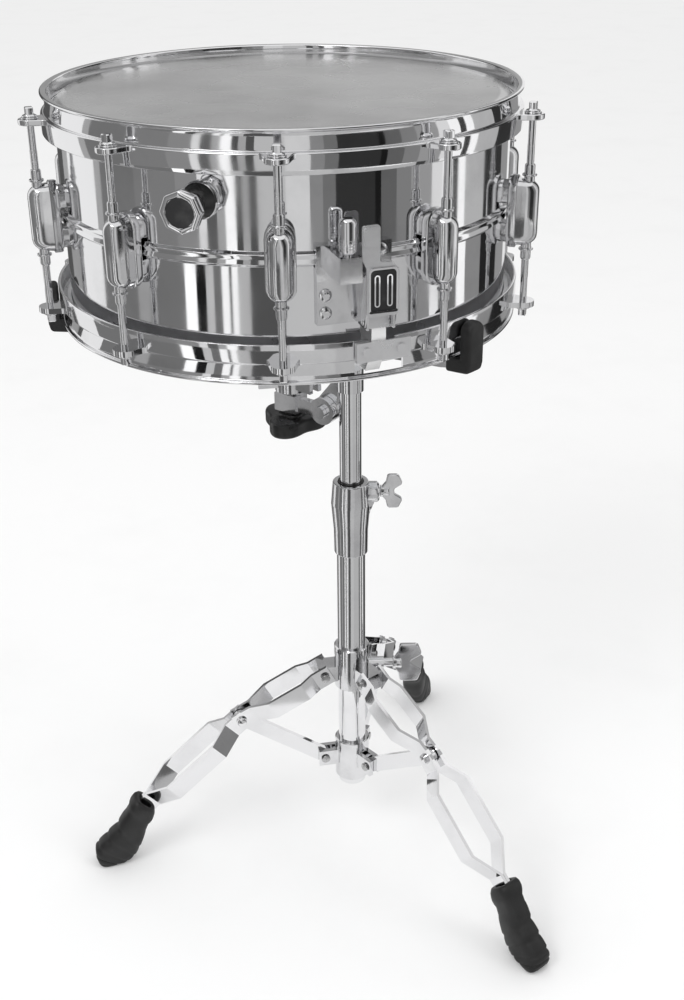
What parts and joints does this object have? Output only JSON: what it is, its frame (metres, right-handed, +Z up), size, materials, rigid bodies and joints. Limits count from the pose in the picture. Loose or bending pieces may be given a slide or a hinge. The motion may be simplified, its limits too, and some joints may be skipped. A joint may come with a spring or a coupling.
{
  "type": "snare drum",
  "caption": "Metal-shell snare drum with tension lugs, snare strainer and internal muffler, held in the rubber-tipped basket of a folding tripod stand.",
  "frame": {"origin": "on the floor under the centre of the whole object's bounding box", "axes": "+Z up; -Y is the front, where the muffler knob and the snare strainer are; +X to the right seen from the front"},
  "size_m": [0.4198, 0.4399, 0.7128],
  "materials": {
    "chrome": "polished chrome plate on steel",
    "cast_chrome": "chrome plate on zinc castings",
    "coated_film": "white sprayed coating on polyester film",
    "clear_film": "thin hazy polyester film",
    "aluminium": "extruded hoop channel",
    "steel": "plain steel",
    "rubber": "black moulded rubber",
    "black_plastic": "black moulded plastic",
    "felt": "pressed white felt",
    "ribbon": "polyester strap"
  },
  "bodies": {
    "stand": {"base_tube": "chrome", "lower_collar": "cast_chrome", "lower_collar_pins": "steel", "height_clamp": "cast_chrome", "clamp_bush": "black_plastic"},
    "height_wing": {"height_wing_screw": "cast_chrome"},
    "leg_slider": {"leg_collar": "cast_chrome", "leg_collar_pins": "steel"},
    "leg_wing": {"leg_wing_screw": "cast_chrome"},
    "riser": {"height_tube": "chrome"},
    "swivel": {"tilter_base": "cast_chrome"},
    "tilt_wing": {"tilter_wing_bolt": "cast_chrome"},
    "basket": {"tilter_arm": "cast_chrome", "basket_rod": "steel", "basket_spider": "cast_chrome"},
    "basket_nut": {"basket_knob": "black_plastic"},
    "drum": {"shell": "chrome", "batter_head": "coated_film", "batter_flesh_hoop": "aluminium", "snare_side_head": "clear_film", "snare_side_flesh_hoop": "aluminium", "batter_hoop": "chrome", "snare_side_hoop": "chrome", "lugs": "cast_chrome", "lug_screws": "steel", "swivel_nuts": "steel", "batter_tension_rods": "chrome", "snare_side_tension_rods": "chrome", "rod_washers": "chrome", "air_vent": "chrome", "strainer_base": "cast_chrome", "strainer_screws": "chrome", "butt_plate": "cast_chrome", "snare_wires": "steel", "snare_end_plates": "steel", "snare_strap_back": "ribbon", "gate_plates": "chrome", "muffler_mount": "chrome"},
    "lever": {"strainer_lever": "chrome"},
    "carriage": {"strainer_carriage": "cast_chrome", "snare_strap_front": "ribbon"},
    "tension_knob": {"strainer_knob": "cast_chrome"},
    "muffler_turner": {"muffler_knob": "cast_chrome"},
    "muffler_lift": {"muffler_arm": "steel", "muffler_felt": "felt"},
    "leg_1_body": {"leg_1": "chrome", "foot_1": "rubber"},
    "strut_1_body": {"strut_1": "chrome"},
    "arm_1_body": {"basket_arm_1": "cast_chrome", "basket_grip_1": "rubber"},
    "leg_2_body": {"leg_2": "chrome", "foot_2": "rubber"},
    "strut_2_body": {"strut_2": "chrome"},
    "arm_2_body": {"basket_arm_2": "cast_chrome", "basket_grip_2": "rubber"},
    "leg_3_body": {"leg_3": "chrome", "foot_3": "rubber"},
    "strut_3_body": {"strut_3": "chrome"},
    "arm_3_body": {"basket_arm_3": "cast_chrome", "basket_grip_3": "rubber"}
  },
  "joints": [
    {"name": "leg_collar_slide", "type": "slide", "parent": "stand", "child": "leg_slider", "axis": [0, 0, 1], "range_m": [0, 0.0754]},
    {"name": "height_wing_turn", "type": "hinge", "parent": "stand", "child": "height_wing", "pos_m": [0.06596, -0.02025, 0.3726], "axis": [1, 0, 0], "continuous": true},
    {"name": "leg_wing_turn", "type": "hinge", "parent": "leg_slider", "child": "leg_wing", "pos_m": [0.06996, -0.02025, 0.195], "axis": [1, 0, 0], "continuous": true},
    {"name": "leg_1_fold", "type": "hinge", "parent": "leg_slider", "child": "leg_1_body", "pos_m": [0.01337, -0.02494, 0.19], "axis": [0.1736, -0.9848, 0], "range_deg": [0, 40.1]},
    {"name": "strut_1_fold", "type": "hinge", "parent": "stand", "child": "strut_1_body", "pos_m": [0.01337, -0.02494, 0.094], "axis": [-0.1736, 0.9848, 0], "range_deg": [0, 35.2]},
    {"name": "leg_2_fold", "type": "hinge", "parent": "leg_slider", "child": "leg_2_body", "pos_m": [0.05731, -0.04093, 0.19], "axis": [0.766, 0.6428, 0], "range_deg": [0, 40.1]},
    {"name": "strut_2_fold", "type": "hinge", "parent": "stand", "child": "strut_2_body", "pos_m": [0.05731, -0.04093, 0.094], "axis": [-0.766, -0.6428, 0], "range_deg": [0, 35.2]},
    {"name": "leg_3_fold", "type": "hinge", "parent": "leg_slider", "child": "leg_3_body", "pos_m": [0.0492, 0.00512, 0.19], "axis": [-0.9397, 0.342, 0], "range_deg": [0, 40.1]},
    {"name": "strut_3_fold", "type": "hinge", "parent": "stand", "child": "strut_3_body", "pos_m": [0.0492, 0.00512, 0.094], "axis": [0.9397, -0.342, 0], "range_deg": [0, 35.2]},
    {"name": "height_slide", "type": "slide", "parent": "stand", "child": "riser", "axis": [0, 0, 1], "range_m": [-0.035, 0.12]},
    {"name": "basket_swivel", "type": "hinge", "parent": "riser", "child": "swivel", "pos_m": [0.03996, -0.02025, 0.478], "axis": [0, 0, 1], "range_deg": [-90, 90]},
    {"name": "basket_tilt", "type": "hinge", "parent": "swivel", "child": "basket", "pos_m": [0.01948, -0.00591, 0.444], "axis": [0.5736, 0.8192, 0], "range_deg": [-12, 12]},
    {"name": "tilt_bolt_turn", "type": "hinge", "parent": "swivel", "child": "tilt_wing", "pos_m": [0.01948, -0.00591, 0.444], "axis": [0.5736, 0.8192, 0], "continuous": true},
    {"name": "basket_knob_turn", "type": "hinge", "parent": "basket", "child": "basket_nut", "pos_m": [-0.01001, 0.01474, 0.4265], "axis": [0, 0, 1], "continuous": true},
    {"name": "basket_arm_1_swing", "type": "hinge", "parent": "basket", "child": "arm_1_body", "pos_m": [-0.03377, 0.0114, 0.466], "axis": [0.1392, -0.9903, 0], "range_deg": [0, 9]},
    {"name": "basket_arm_2_swing", "type": "hinge", "parent": "basket", "child": "arm_2_body", "pos_m": [0.00726, -0.00193, 0.466], "axis": [0.6947, 0.7193, 0], "range_deg": [0, 9.1]},
    {"name": "basket_arm_3_swing", "type": "hinge", "parent": "basket", "child": "arm_3_body", "pos_m": [-0.00299, 0.03769, 0.466], "axis": [-0.9563, 0.2924, 0], "range_deg": [0, 9.1]},
    {"name": "drum_lift", "type": "slide", "parent": "basket", "child": "drum", "axis": [0, 0, 1], "range_m": [0, 0.08]},
    {"name": "strainer_lever_throw", "type": "hinge", "parent": "drum", "child": "lever", "pos_m": [0.05741, -0.16524, 0.5788], "axis": [0.9511, 0.309, 0], "range_deg": [0, 85]},
    {"name": "strainer_carriage_slide", "type": "slide", "parent": "drum", "child": "carriage", "axis": [0, 0, -1], "range_m": [0, 0.0081], "deforming": ["snare_strap_front"]},
    {"name": "snare_tension_turn", "type": "hinge", "parent": "drum", "child": "tension_knob", "pos_m": [0.03598, -0.17535, 0.6328], "axis": [0, 0, 1], "continuous": true},
    {"name": "muffler_knob_turn", "type": "hinge", "parent": "drum", "child": "muffler_turner", "pos_m": [-0.07199, -0.18067, 0.6628], "axis": [-0.3024, -0.9532, 0], "range_deg": [0, 270]},
    {"name": "muffler_pad_lift", "type": "slide", "parent": "drum", "child": "muffler_lift", "axis": [0, 0, 1], "range_m": [0, 0.0036]}
  ],
  "couplings": [
    {"joint": "leg_1_fold", "follows": "leg_collar_slide", "rad_per_m": 9.259},
    {"joint": "strut_1_fold", "follows": "leg_collar_slide", "rad_per_m": 8.1248},
    {"joint": "leg_2_fold", "follows": "leg_collar_slide", "rad_per_m": 9.259},
    {"joint": "strut_2_fold", "follows": "leg_collar_slide", "rad_per_m": 8.1248},
    {"joint": "leg_3_fold", "follows": "leg_collar_slide", "rad_per_m": 9.259},
    {"joint": "strut_3_fold", "follows": "leg_collar_slide", "rad_per_m": 8.1248},
    {"joint": "basket_arm_2_swing", "follows": "basket_arm_1_swing", "ratio": 1},
    {"joint": "basket_arm_3_swing", "follows": "basket_arm_1_swing", "ratio": 1},
    {"joint": "strainer_carriage_slide", "follows": "strainer_lever_throw", "m_per_rad": 0.005393},
    {"joint": "muffler_pad_lift", "follows": "muffler_knob_turn", "m_per_rad": 0.0007427}
  ]
}
